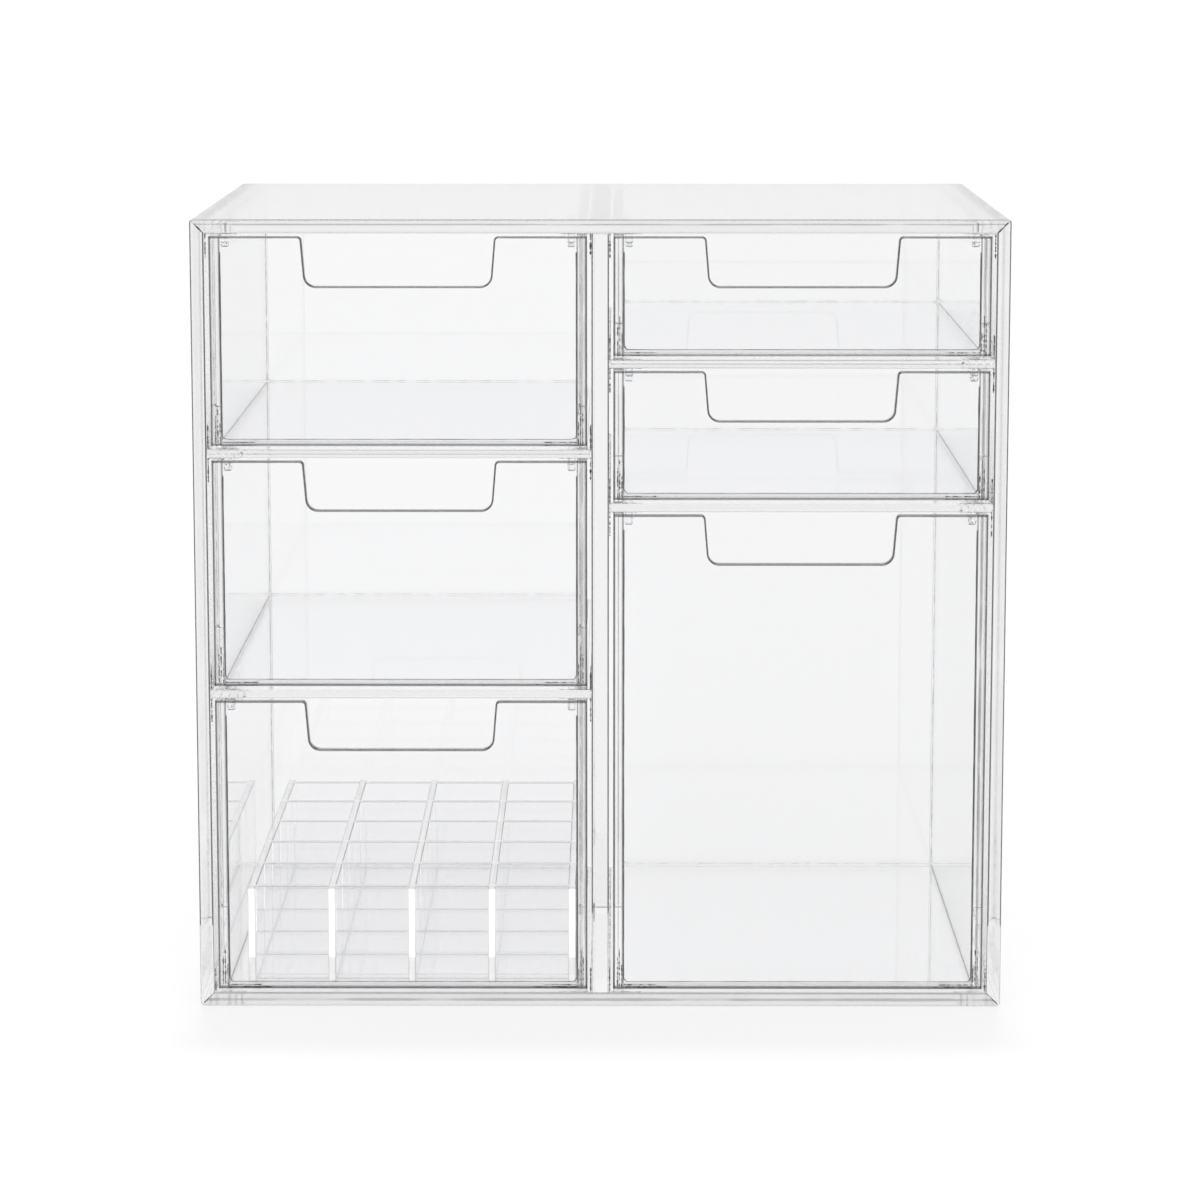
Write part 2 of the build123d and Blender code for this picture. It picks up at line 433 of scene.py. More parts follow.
def sheet_finish_group():
    """What every sheet shares: its broad faces, flat edges and rounded edge lines told apart.

    The direction of each face is set against the sheet's thin axis: along it are the broad
    faces, square to it the flat edges, and between them the rounded lines, whose tints are
    painted shade: one for the upright ones, the upper ones and the lower ones.
    """
    inputs = (
        ("Thin Axis", "NodeSocketVector"),
        ("Face Tint", "NodeSocketColor"),
        ("Edge Tint", "NodeSocketColor"),
        ("Upright Line", "NodeSocketColor"),
        ("Upper Line", "NodeSocketColor"),
        ("Lower Line", "NodeSocketColor"),
        ("Rear Line", "NodeSocketColor"),
        ("Front Y", "NodeSocketFloat"),
        ("Front Reach", "NodeSocketFloat"),
        ("Face Roughness", "NodeSocketFloat"),
        ("Edge Roughness", "NodeSocketFloat"),
        ("Ripple Height", "NodeSocketFloat"),
        ("Ripple Length", "NodeSocketFloat"),
    )
    outputs = (
        ("Color", "NodeSocketColor"),
        ("Roughness", "NodeSocketFloat"),
        ("Height", "NodeSocketFloat"),
        ("Line", "NodeSocketFloat"),
    )
    group, given, result = new_group("sheet_finish", "ShaderNodeTree", inputs, outputs)
    where = add(group, "ShaderNodeTexCoord")

    facing = calculate(
        group, "ABSOLUTE", dot_product(group, where.outputs["Normal"], given["Thin Axis"])
    )
    broad = remap(group, facing, *BROAD, 0.0, 1.0)
    flat_edge = remap(group, facing, *FLAT, 1.0, 0.0)

    place = parts_of(group, where.outputs["Object"])
    # Painted shade: the edge lines take other tints behind the front, on upper edges and on edges
    # that look down.
    behind = calculate(group, "SUBTRACT", place["Y"], given["Front Y"])
    rear = remap(group, behind, 0.0, given["Front Reach"], 0.0, 1.0)
    aim = parts_of(group, where.outputs["Normal"])
    upper = remap(group, aim["Z"], *SLANTED, 0.0, 1.0)
    lower = remap(group, aim["Z"], -SLANTED[1], -SLANTED[0], 1.0, 0.0)
    line = mix_colours(group, rear, given["Upright Line"], given["Rear Line"])
    line = mix_colours(group, upper, line, given["Upper Line"])
    line = mix_colours(group, lower, line, given["Lower Line"])
    colour = mix_colours(group, broad, line, given["Face Tint"])
    colour = mix_colours(group, flat_edge, colour, given["Edge Tint"])
    rough = calculate(group, "SUBTRACT", given["Edge Roughness"], given["Face Roughness"])
    rough = calculate(group, "MULTIPLY", rough, calculate(group, "SUBTRACT", 1.0, broad))
    rough = calculate(group, "ADD", rough, given["Face Roughness"])

    waves = noise(group, where.outputs["Object"], given["Ripple Length"], detail=1.0)
    height = calculate(group, "MULTIPLY", waves, given["Ripple Height"])

    line_mask = calculate(group, "SUBTRACT", 1.0, calculate(group, "MAXIMUM", broad, flat_edge))
    feed(group, result, Color=colour, Roughness=rough, Height=height, Line=line_mask)
    return group


def patches(tree, vector, patch_length):
    """Uneven patches of about one length, as cement leaves them, and as breaks in painted shade
    lines.
    """
    return noise(tree, vector, patch_length, detail=3.0)


def sheet_ends_group():
    """Masks for a sheet's ends: a patchy band along the front one's middle, the whole front one
    with less of it below a height, its part below that height, and the rear one."""
    sizes = ("Middle", "Band Width", "Patch Length", "Low Z", "Low Share", "Rear Y")
    inputs = [("Across", "NodeSocketVector")] + [(name, "NodeSocketFloat") for name in sizes]
    masks = ("Band", "Bright End", "Low End", "Rear End")
    outputs = [(name, "NodeSocketFloat") for name in masks]
    group, given, result = new_group("sheet_ends", "ShaderNodeTree", inputs, outputs)
    where = add(group, "ShaderNodeTexCoord")
    place = parts_of(group, where.outputs["Object"])
    aim = parts_of(group, where.outputs["Normal"])
    front = remap(group, aim["Y"], -FRONT_END[1], -FRONT_END[0], 1.0, 0.0)

    least_width, thin_share = 0.1, 0.35
    thin, full = 0.3, 0.5
    inner, outer = 0.7, 1.1
    uneven = patches(group, where.outputs["Object"], given["Patch Length"])
    width = calculate(group, "ADD", uneven, least_width)
    reach = calculate(group, "MULTIPLY", given["Band Width"], width)
    across = dot_product(group, where.outputs["Object"], given["Across"])
    aside = calculate(group, "ABSOLUTE", calculate(group, "SUBTRACT", across, given["Middle"]))
    aside = calculate(group, "DIVIDE", aside, reach)
    band = calculate(group, "MULTIPLY", front, remap(group, aside, inner, outer, 1.0, 0.0))
    thickness = remap(group, uneven, thin, full, thin_share, 1.0)
    band = calculate(group, "MULTIPLY", band, thickness)

    # The bright end carries painted light: the glow of the divider's front ends, less below a
    # height.
    fade = 0.001
    above = calculate(group, "SUBTRACT", place["Z"], given["Low Z"])
    bright = remap(group, above, 0.0, fade, given["Low Share"], 1.0)
    bright_end = calculate(group, "MULTIPLY", front, bright)
    low = remap(group, above, 0.0, fade, 1.0, 0.0)
    low_end = calculate(group, "MULTIPLY", front, low)

    # By its place too, because a face's normal turns round where light meets it from inside
    nearly = -0.001
    rear_end = remap(group, calculate(group, "ABSOLUTE", aim["Y"]), *REAR_END, 0.0, 1.0)
    behind = calculate(group, "SUBTRACT", place["Y"], given["Rear Y"])
    at_rear = calculate(group, "GREATER_THAN", behind, nearly)
    rear_end = calculate(group, "MULTIPLY", rear_end, at_rear)
    feed(group, result, Band=band, Bright_End=bright_end, Low_End=low_end, Rear_End=rear_end)
    return group


def sheet_ends(tree, **inputs):
    """The masks of a sheet's ends in one material, from its own sizes."""
    group = bpy.data.node_groups.get("sheet_ends") or sheet_ends_group()
    node = add(tree, "ShaderNodeGroup", node_tree=group)
    return feed(tree, node, **inputs).outputs


def shader_of(material):
    """A material's Principled BSDF."""
    return next(n for n in material.node_tree.nodes if n.type == "BSDF_PRINCIPLED")


def tint_where(material, mask, colour):
    """Change a material's Base Color to another colour where a mask is white."""
    tree = material.node_tree
    base = shader_of(material).inputs["Base Color"]
    first = base.links[0].from_socket
    link(tree, mix_colours(tree, mask, first, (*colour, 1.0)), base)


def notch_mask(material, middle, half_width):
    """Mask of the upright lines of a finger notch, which lie within a reach of the middle."""
    tree = material.node_tree
    finish = next(n for n in tree.nodes if n.type == "GROUP")
    where = add(tree, "ShaderNodeTexCoord")
    place = parts_of(tree, where.outputs["Object"])
    aim = parts_of(tree, where.outputs["Normal"])
    aside = calculate(tree, "ABSOLUTE", calculate(tree, "SUBTRACT", place["X"], middle))
    upright = remap(tree, calculate(tree, "ABSOLUTE", aim["X"]), *NOTCH_SIDE, 0.0, 1.0)
    upright_line = calculate(tree, "MULTIPLY", finish.outputs["Line"], upright)
    near = calculate(tree, "LESS_THAN", aside, half_width)
    return calculate(tree, "MULTIPLY", upright_line, near)


def sheet_material(name, axis, face_tint, lines, sheets, group):
    """Clear cast sheet whose thin direction is the given axis."""
    material = new_material(name)
    tree = material.node_tree
    finish = add(tree, "ShaderNodeGroup", node_tree=group)
    feed(
        tree, finish,
        Thin_Axis=[float(i == axis) for i in range(3)],
        Face_Tint=(*face_tint, 1.0),
        Edge_Tint=(*sheets.edge_tint, 1.0),
        Upright_Line=(*lines[0], 1.0),
        Upper_Line=(*lines[1], 1.0),
        Lower_Line=(*lines[2], 1.0),
        Rear_Line=(*sheets.rear_line, 1.0),
        Front_Y=CAD_BOUNDS[0][1],
        Front_Reach=sheets.front_reach,
        Face_Roughness=sheets.face_roughness,
        Edge_Roughness=sheets.edge_roughness,
        Ripple_Height=sheets.ripple_height,
        Ripple_Length=sheets.ripple_length,
    )
    bump = feed(tree, add(tree, "ShaderNodeBump"), Height=finish.outputs["Height"], Distance=1.0)
    clear = feed(
        tree, add(tree, "ShaderNodeBsdfPrincipled"),
        Base_Color=finish.outputs["Color"],
        Roughness=finish.outputs["Roughness"],
        Normal=bump.outputs["Normal"],
        IOR=sheets.ior,
        Metallic=0.0,
        Transmission_Weight=1.0,
    )
    depth = add(tree, "ShaderNodeVolumeAbsorption")
    feed(tree, depth, Color=BLACK, Density=sheets.darkening)
    output = add(tree, "ShaderNodeOutputMaterial")
    feed(tree, output, Surface=clear.outputs["BSDF"], Volume=depth.outputs["Volume"])
    return material


def thin_axis(node):
    """The axis along which a sheet is thinnest."""
    low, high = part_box(node)
    spans = [high[i] - low[i] for i in range(3)]
    return spans.index(min(spans))


def nodes_of(*bodies):
    """The CAD nodes of some bodies."""
    return [n for b in bodies for n in frame["record"]["behaviour"]["bodies"][b]]


def finish_nodes(nodes, label, face_tint, lines, sheets, axis=None):
    """Give each node the clear material of its own thin axis, or of the axis given.

    The lines are the tints of its upright, its upper and its lower edge lines, which are painted
    shade.
    """
    group = bpy.data.node_groups.get("sheet_finish") or sheet_finish_group()
    made = {}
    for node in nodes:
        thin = thin_axis(node) if axis is None else axis
        if thin not in made:
            made[thin] = sheet_material(
                f"{label}_{AXES[thin]}", thin, face_tint, lines, sheets, group
            )
        shown = frame["nodes"][node]
        shown.data.materials.clear()
        shown.data.materials.append(made[thin])
    return list(made.values())


def bead_tree():
    """Cement squeezed out of a joint: an uneven rod along each run of a mesh of edges."""
    inputs = (
        ("Runs", "NodeSocketGeometry"),
        ("Bead Radius", "NodeSocketFloat"),
        ("Least Share", "NodeSocketFloat"),
        ("Level Share", "NodeSocketFloat"),
        ("Lump Length", "NodeSocketFloat"),
        ("Corner Radius", "NodeSocketFloat"),
        ("Seed", "NodeSocketFloat"),
        ("Cement", "NodeSocketMaterial"),
    )
    outputs = [("Beads", "NodeSocketGeometry")]
    tree, given, result = new_group("cement_bead", "GeometryNodeTree", inputs, outputs)
    steps_per_lump, steps_round, bend_steps = 4, 8, 5
    thin, thick = 0.3, 0.7
    level, upright = 0.2, 0.9

    runs = feed(tree, add(tree, "GeometryNodeMeshToCurve"), Mesh=given["Runs"])
    bent = feed(
        tree, add(tree, "GeometryNodeFilletCurve", mode="POLY"),
        Curve=runs.outputs["Curve"], Count=bend_steps, Radius=given["Corner Radius"],
        Limit_Radius=True,
    )
    step = calculate(tree, "DIVIDE", given["Lump Length"], steps_per_lump)
    path = feed(
        tree, add(tree, "GeometryNodeResampleCurve", mode="LENGTH"),
        Curve=bent.outputs["Curve"], Length=step,
    )
    lumps = feed(
        tree, add(tree, "ShaderNodeTexNoise", noise_dimensions="4D"),
        Vector=add(tree, "GeometryNodeInputPosition").outputs["Position"],
        W=given["Seed"], Scale=calculate(tree, "DIVIDE", 1.0, given["Lump Length"]), Detail=2.0,
    )
    share_here = remap(tree, lumps.outputs["Fac"], thin, thick, given["Least Share"], 1.0)
    heading = parts_of(tree, add(tree, "GeometryNodeInputTangent").outputs["Tangent"])
    rise = calculate(tree, "ABSOLUTE", heading["Z"])
    level_share = remap(tree, rise, level, upright, given["Level Share"], 1.0)
    share_here = calculate(tree, "MULTIPLY", share_here, level_share)
    outline = feed(
        tree, add(tree, "GeometryNodeCurvePrimitiveCircle", mode="RADIUS"),
        Resolution=steps_round, Radius=1.0,
    )
    rod = feed(
        tree, add(tree, "GeometryNodeCurveToMesh"),
        Curve=path.outputs["Curve"], Profile_Curve=outline.outputs["Curve"],
        Scale=calculate(tree, "MULTIPLY", share_here, given["Bead Radius"]), Fill_Caps=True,
    )
    smooth = feed(tree, add(tree, "GeometryNodeSetShadeSmooth"), Geometry=rod.outputs["Mesh"])
    real = add(tree, "GeometryNodeRealizeInstances")
    feed(tree, real, Geometry=smooth.outputs["Geometry"])
    done = feed(
        tree, add(tree, "GeometryNodeSetMaterial"),
        Geometry=real.outputs["Geometry"], Material=given["Cement"],
    )
    feed(tree, result, Beads=done.outputs["Geometry"])
    return tree


def make_beads(name, body, slot, runs, **inputs):
    """One piece of cement beads on a body, along runs of points."""
    tree = bpy.data.node_groups.get("cement_bead") or bead_tree()
    points, edges = [], []
    for run in runs:
        first = len(points)
        edges += [(first + i, first + i + 1) for i in range(len(run) - 1)]
        points += run
    mesh = bpy.data.meshes.new(f"{name}_runs")
    mesh.from_pydata(points, edges, [])
    piece = bpy.data.objects.new(name, mesh)
    bpy.context.scene.collection.objects.link(piece)
    modifier = piece.modifiers.new("beads", "NODES")
    modifier.node_group = tree
    names = {s.name: s.identifier for s in tree.interface.items_tree if s.in_out == "INPUT"}
    for key, value in inputs.items():
        modifier[names[key.replace("_", " ")]] = value
    depsgraph = bpy.context.evaluated_depsgraph_get()
    made = bpy.data.meshes.new_from_object(piece.evaluated_get(depsgraph), depsgraph=depsgraph)
    piece.modifiers.remove(modifier)
    piece.data = made
    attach(piece, body)


def cement_material(name, colour, sheets):
    """Set cement: clear, of one tint, with cloudy patches."""
    material = new_material(name)
    tree = material.node_tree
    patch_length = 0.004
    thin, full = 0.35, 0.65
    smooth, cloudy = 0.02, 0.2
    lift, drop = 1.35, 0.65
    lighter = [min(1.0, lift * c) for c in colour]
    darker = [drop * c for c in colour]
    where = add(tree, "ShaderNodeTexCoord")
    uneven = patches(tree, where.outputs["Object"], patch_length)
    shade = remap(tree, uneven, thin, full, 0.0, 1.0)
    clear = feed(
        tree, add(tree, "ShaderNodeBsdfPrincipled"),
        Base_Color=mix_colours(tree, shade, (*lighter, 1.0), (*darker, 1.0)),
        Roughness=remap(tree, uneven, thin, full, smooth, cloudy),
        IOR=sheets.ior,
        Metallic=0.0,
        Transmission_Weight=1.0,
    )
    feed(tree, add(tree, "ShaderNodeOutputMaterial"), Surface=clear.outputs["BSDF"])
    return material


def inside_tone(tree, path, stage):
    """Tone that the background has through the sheets, less after many reflections in them."""
    return remap(
        tree, path.outputs["Glossy Depth"], stage.first_fade, stage.last_fade,
        stage.inside_tone, stage.inside_tone * stage.deep_tone,
    )


def floor_material(stage):
    """Pale floor: white where the background shows, and painted for the shadow's share."""
    material = new_material("floor_white")
    tree = material.node_tree
    path = add(tree, "ShaderNodeLightPath")
    paint = feed(tree, add(tree, "ShaderNodeBsdfDiffuse"), Color=(*stage.floor_tint, 1.0))
    seen = path.outputs["Is Camera Ray"]
    where = add(tree, "ShaderNodeTexCoord")
    place = parts_of(tree, where.outputs["Object"])
    # Painted shade: the floor seen through the sheets is darker to the right.
    right_from, right_full = -0.02, 0.04
    right = remap(tree, place["X"], right_from, right_full, 1.0, stage.right_tone)
    through = calculate(tree, "MULTIPLY", inside_tone(tree, path, stage), right)
    strength = calculate(tree, "MAXIMUM", seen, through)
    glow = feed(tree, add(tree, "ShaderNodeEmission"), Color=WHITE, Strength=strength)
    mirrored = calculate(
        tree, "MAXIMUM", path.outputs["Is Glossy Ray"], path.outputs["Is Transmission Ray"]
    )
    white = calculate(tree, "MAXIMUM", seen, mirrored)
    mix = add(tree, "ShaderNodeMixShader")
    feed(tree, mix, Fac=calculate(tree, "MULTIPLY", white, stage.floor_glow))
    link(tree, paint.outputs["BSDF"], mix.inputs[1])
    link(tree, glow.outputs["Emission"], mix.inputs[2])
    feed(tree, add(tree, "ShaderNodeOutputMaterial"), Surface=mix.outputs["Shader"])
    return material


def make_floor(stage):
    """A large square floor just under the organizer."""
    half = stage.floor_side / 2
    z = -stage.floor_drop
    corners = [(-half, -half, z), (half, -half, z), (half, half, z), (-half, half, z)]
    mesh = bpy.data.meshes.new("floor")
    mesh.from_pydata(corners, [], [(0, 1, 2, 3)])
    mesh.materials.append(floor_material(stage))
    floor = bpy.data.objects.new("floor", mesh)
    bpy.context.scene.collection.objects.link(floor)


def make_world(stage):
    """White to the camera; through the sheets a bright ring over the horizon, and darker above."""
    world = bpy.data.worlds.new("studio")
    bpy.context.scene.world = world
    world.use_nodes = True
    tree = world.node_tree
    tree.nodes.clear()
    path = add(tree, "ShaderNodeLightPath")
    where = add(tree, "ShaderNodeTexCoord")
    height = parts_of(tree, where.outputs["Generated"])["Z"]
    overhead = remap(
        tree, height, math.sin(stage.overhead_low), math.sin(stage.overhead_high),
        1.0, stage.overhead_tone,
    )
    ring = remap(
        tree, height, math.sin(stage.ring_low), math.sin(stage.ring_high), 1.0, stage.ring_tone
    )
    strength = calculate(tree, "MULTIPLY", ring, overhead)
    strength = calculate(tree, "MULTIPLY", strength, inside_tone(tree, path, stage))
    strength = calculate(tree, "MAXIMUM", strength, path.outputs["Is Camera Ray"])
    studio = feed(tree, add(tree, "ShaderNodeBackground"), Color=WHITE, Strength=strength)
    feed(tree, add(tree, "ShaderNodeOutputWorld"), Surface=studio.outputs["Background"])


def make_lamp(stage):
    """A lamp high up and a little behind, so that the organizer's short shadow falls forwards."""
    light = bpy.data.lights.new("lamp_overhead", "SUN")
    light.energy = stage.lamp_strength
    light.angle = stage.lamp_width
    lamp = bpy.data.objects.new("lamp_overhead", light)
    lamp.rotation_euler = Euler((-stage.lamp_lean, 0, 0))
    lamp.visible_glossy = False
    lamp.visible_transmission = False
    bpy.context.scene.collection.objects.link(lamp)


def make_camera(stage):
    """A camera at the photograph's viewing angle."""
    lens = bpy.data.cameras.new("camera")
    lens.sensor_width = 36
    lens.lens = stage.camera_lens_mm
    camera = bpy.data.objects.new("camera", lens)
    camera.location = stage.camera_place
    camera.rotation_euler = Euler((math.pi / 2 - stage.camera_tilt, 0, stage.camera_turn))
    bpy.context.scene.collection.objects.link(camera)
    bpy.context.scene.camera = camera


class ORGANIZER_OT_stage(bpy.types.Operator):
    """Set the floor, the studio, the lamp and the camera"""

    bl_idname = "organizer.set_stage"
    bl_label = "Set Stage"

    def execute(self, context):
        stage = context.scene.organizer_stage
        make_floor(stage)
        make_world(stage)
        make_lamp(stage)
        make_camera(stage)
        scene = context.scene
        scene.view_settings.view_transform = "Standard"
        # Light crosses many sheets, and runs far along inside each
        scene.cycles.max_bounces = 48
        scene.cycles.transmission_bounces = 48
        scene.cycles.glossy_bounces = 48
        scene.cycles.transparent_max_bounces = 16
        return {"FINISHED"}


def finish_panel_ends(material, node, sheets):
    """Painted shade on the top or the base: a line along its front end, and the panel's darker rear
    end.
    """
    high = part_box(node)[1]
    if node == "case_top":
        band_z, band_width = high[2] - sheets.top_band_drop, sheets.top_band_width
        rear_shade_tint = sheets.top_rear_shade_tint
    else:
        band_z, band_width = middle_of(node, 2), sheets.base_band_width
        rear_shade_tint = sheets.base_rear_shade_tint
    masks = sheet_ends(
        material.node_tree, Across=UPWARDS, Middle=band_z, Band_Width=band_width,
        Patch_Length=PANEL_PATCHES, Rear_Y=high[1],
    )
    tint_where(material, masks["Rear End"], rear_shade_tint)
    tint_where(material, masks["Band"], sheets.panel_band_tint)


def finish_upright_ends(material, node, sheets):
    """The lowest part of an upright sheet's front end, painted darker as painted shade, and the
    streaks on that of a side.
    """
    masks = sheet_ends(
        material.node_tree, Across=SIDEWAYS, Middle=middle_of(node, 0),
        Band_Width=sheets.streak_width, Patch_Length=SHEET_PATCHES,
        Low_Z=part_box(node)[0][2] + sheets.low_end_height,
    )
    tint_where(material, masks["Low End"], sheets.low_end_tint)
    if node.endswith("_side"):
        tint_where(material, masks["Band"], sheets.streak_tint)


class ORGANIZER_OT_case(bpy.types.Operator):
    """Finish the sheets of the case"""

    bl_idname = "organizer.finish_case"
    bl_label = "Finish Case"

    def execute(self, context):
        sheets = context.scene.organizer_sheets
        shelves = [n for n in nodes_of("case") if n.endswith("_shelf")]
        # The frame's members are told apart along Y, because their ends are mitred at 45 degrees
        y_axis = 1
        for nodes, label, line_tint, axis in (
            (("case_left_side",), "case_left_side", sheets.upright_line, y_axis),
            (("case_right_side",), "case_right_side", sheets.upright_line, y_axis),
            (("case_top",), "case_top", sheets.level_line, y_axis),
            (("case_base",), "case_base", sheets.level_line, y_axis),
            (("case_divider",), "case_divider", sheets.upright_line, None),
            (("case_back",), "case_back", sheets.rear_line, None),
            (shelves, "case_shelf", sheets.shelf_line, None),
        ):
            lines = (line_tint, line_tint, sheets.lower_line)
            made = finish_nodes(nodes, label, sheets.case_tint, lines, sheets, axis)
            if label in ("case_top", "case_base"):
                finish_panel_ends(made[0], label, sheets)
            elif label.endswith(("_side", "_divider")):
                finish_upright_ends(made[0], label, sheets)
        return {"FINISHED"}


def case_corners():
    """The corners of the case's bays, and the span in Y that their joints have.

    A corner is the X of its upright sheet, the way into the bay from there, the Z of its level
    sheet, and the way into the bay from that.
    """
    short_of_back = 0.001
    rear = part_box("case_back")[0][1] - short_of_back
    divider_low, divider_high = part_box("case_divider")
    left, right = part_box("left_upper_shelf")[0][0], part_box("right_upper_shelf")[1][0]
    bays = {"left": (left, divider_low[0]), "right": (divider_high[0], right)}
    corners = []
    for hand, (low_x, high_x) in bays.items():
        levels = [(divider_low[2], 1), (divider_high[2], -1)]
        for row in ("upper", "lower"):
            low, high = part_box(f"{hand}_{row}_shelf")
            levels += [(low[2], -1), (high[2], 1)]
        for z, way in levels:
            for x, turn in ((low_x, 1), (high_x, -1)):
                corners.append((x, turn, z, way))
    return corners, CAD_BOUNDS[0][1], rear


def make_corner_beads(corners, front, rear, sheets):
    """A pale bead along each joint, from near the front to the back."""
    radius = sheets.bead_radius
    behind_front = 0.003
    runs = []
    for x, turn, z, way in corners:
        across, up = x + turn * radius, z + way * radius
        runs.append([(across, front + behind_front, up), (across, rear, up)])
    make_beads(
        "case_cement", "case", "case_clear", runs, Bead_Radius=radius, Least_Share=0.25,
        Level_Share=1.0, Lump_Length=0.006, Corner_Radius=0.0, Seed=3.0,
        Cement=cement_material("cement_pale", sheets.pale_bead_tint, sheets),
    )


def make_corner_crumbs(corners, front, sheets):
    """Crumbs in the front corners, up the upright sheet and along the level one, of real cement
    painted dark as painted shade.

    Those along the level sheet lie flat on it, because the drawers slide close over it.
    """
    crumb, flat_share = 1.1 * sheets.bead_radius, 0.3
    behind_front, reach_up, reach_across = 0.0015, 0.009, 0.012
    runs = []
    for x, turn, z, way in corners:
        beside, over = x + turn * crumb, z + way * crumb * flat_share
        y = front + behind_front
        runs.append([(beside, y, z + way * reach) for reach in (crumb, reach_up)])
        runs.append([(x + turn * reach, y, over) for reach in (crumb, reach_across)])
    make_beads(
        "case_corner_cement", "case", "case_clear", runs, Bead_Radius=crumb, Least_Share=0.0,
        Level_Share=flat_share, Lump_Length=0.0009, Corner_Radius=0.0, Seed=5.0,
        Cement=cement_material("cement_corner_shaded", sheets.shaded_bead_tint, sheets),
    )


def make_mitre_beads(front, sheets):
    """A dark bead in the front end of each of the case's mitres: a real cement joint, made darker
    as painted shade.
    """
    (low_x, _, low_z), (high_x, _, high_z) = CAD_BOUNDS
    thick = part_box("case_divider")[0][2] - low_z
    behind_front, inside_corner = 0.0006, 0.0012
    runs = []
    for x, turn in ((low_x, 1), (high_x, -1)):
        for z, way in ((low_z, 1), (high_z, -1)):
            runs.append([
                (x + turn * reach, front + behind_front, z + way * reach)
                for reach in (inside_corner, thick)
            ])
    make_beads(
        "case_mitre_cement", "case", "case_clear", runs, Bead_Radius=sheets.bead_radius,
        Least_Share=0.1, Level_Share=1.0, Lump_Length=0.0025, Corner_Radius=0.0, Seed=8.0,
        Cement=cement_material("cement_mitre_shaded", sheets.shaded_mitre_tint, sheets),
    )


class ORGANIZER_OT_case_cement(bpy.types.Operator):
    """Put the cement beads in the case's corners and mitres"""

    bl_idname = "organizer.cement_case"
    bl_label = "Cement Case"

    def execute(self, context):
        sheets = context.scene.organizer_sheets
        corners, front, rear = case_corners()
        make_corner_beads(corners, front, rear, sheets)
        make_corner_crumbs(corners, front, sheets)
        make_mitre_beads(front, sheets)
        return {"FINISHED"}


class ORGANIZER_OT_stops(bpy.types.Operator):
    """Finish the stop blocks"""

    bl_idname = "organizer.finish_stops"
    bl_label = "Finish Stops"

    def execute(self, context):
        sheets = context.scene.organizer_sheets
        stops = [n for n in nodes_of("case") if n.endswith("_stops")]
        finish_nodes(stops, "stop_block", sheets.case_tint, [sheets.stop_line] * 3, sheets, axis=2)
        return {"FINISHED"}


class ORGANIZER_OT_drawers(bpy.types.Operator):
    """Finish the sheets of the drawers"""

    bl_idname = "organizer.finish_drawers"
    bl_label = "Finish Drawers"

    def execute(self, context):
        sheets = context.scene.organizer_sheets
        made_of = nodes_of(*[b for b in frame["bodies"] if b.endswith("_drawer")])
        fronts = [n for n in made_of if n.endswith("_front")]
        sides = [n for n in made_of if n.endswith("_side")]
        others = [n for n in made_of if n not in fronts + sides]
        tinted = sheets.drawer_tint
        notch_share = 0.3
        lines = (sheets.front_line, sheets.front_level_line, sheets.front_lower_line)
        for node in fronts:
            (material,) = finish_nodes([node], node, tinted, lines, sheets)
            low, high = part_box(node)
            # Painted shade: the finger notches' upright edge lines are painted darkest.
            mask = notch_mask(material, middle_of(node, 0), notch_share * (high[0] - low[0]))
            tint_where(material, mask, sheets.notch_line)
        finish_nodes(others, "drawer_sheet", tinted, [sheets.rear_line] * 3, sheets)
        lines = (sheets.side_upright_line, sheets.side_upper_line, sheets.lower_line)
        for node in sides:
            (material,) = finish_nodes([node], node, tinted, lines, sheets)
            wide = sheets.left_band_share if node.endswith("_left_side") else 1.0
            masks = sheet_ends(
                material.node_tree, Across=SIDEWAYS, Middle=middle_of(node, 0),
                Band_Width=sheets.band_width * wide, Patch_Length=SHEET_PATCHES,
            )
            tint_where(material, masks["Band"], sheets.band_tint)
        return {"FINISHED"}


def drawer_inside(body):
    """The inside of a drawer: its left and right, its front and back, and its floor and rim."""
    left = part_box(f"{body}_left_side")[1]
    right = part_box(f"{body}_right_side")[0]
    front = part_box(f"{body}_front")[1]
    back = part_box(f"{body}_back")[0]
    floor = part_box(f"{body}_floor")[1]
    return left[0], right[0], front[1], back[1], floor[2], left[2]


def make_drawer_crumbs(body, seed, cement, sheets):
    """Crumbs behind a drawer's front, up its sides' ends and along its floor's, of real cement
    painted dark as painted shade.

    Each run has its place across the end that it is on, and its reach along it.
    """
    left, right, joint, *_ = drawer_inside(body)
    crumb = 0.85 * sheets.bead_radius
    floor_middle = 0.0012
    floor_runs = ((-0.0004, 0.016), (0.0004, 0.012))
    side_runs = ((0.0007, 0.008), (0.0015, 0.014), (0.0023, 0.011))
    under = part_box(f"{body}_floor")[0][2] + floor_middle
    runs = []
    for x, turn in ((left, 1), (right, -1)):
        for place, reach in floor_runs:
            level = under + place
            runs.append([(x + turn * along, joint, level) for along in (0.0, reach)])
        for place, reach in side_runs:
            beside = x - turn * place
            runs.append([(beside, joint, under + along) for along in (0.0, reach)])
    make_beads(
        f"{body}_corner_cement", body, "drawer_clear", runs, Bead_Radius=crumb, Least_Share=0.0,
        Level_Share=1.0, Lump_Length=0.0009, Corner_Radius=0.0, Seed=seed + 20.5, Cement=cement,
    )


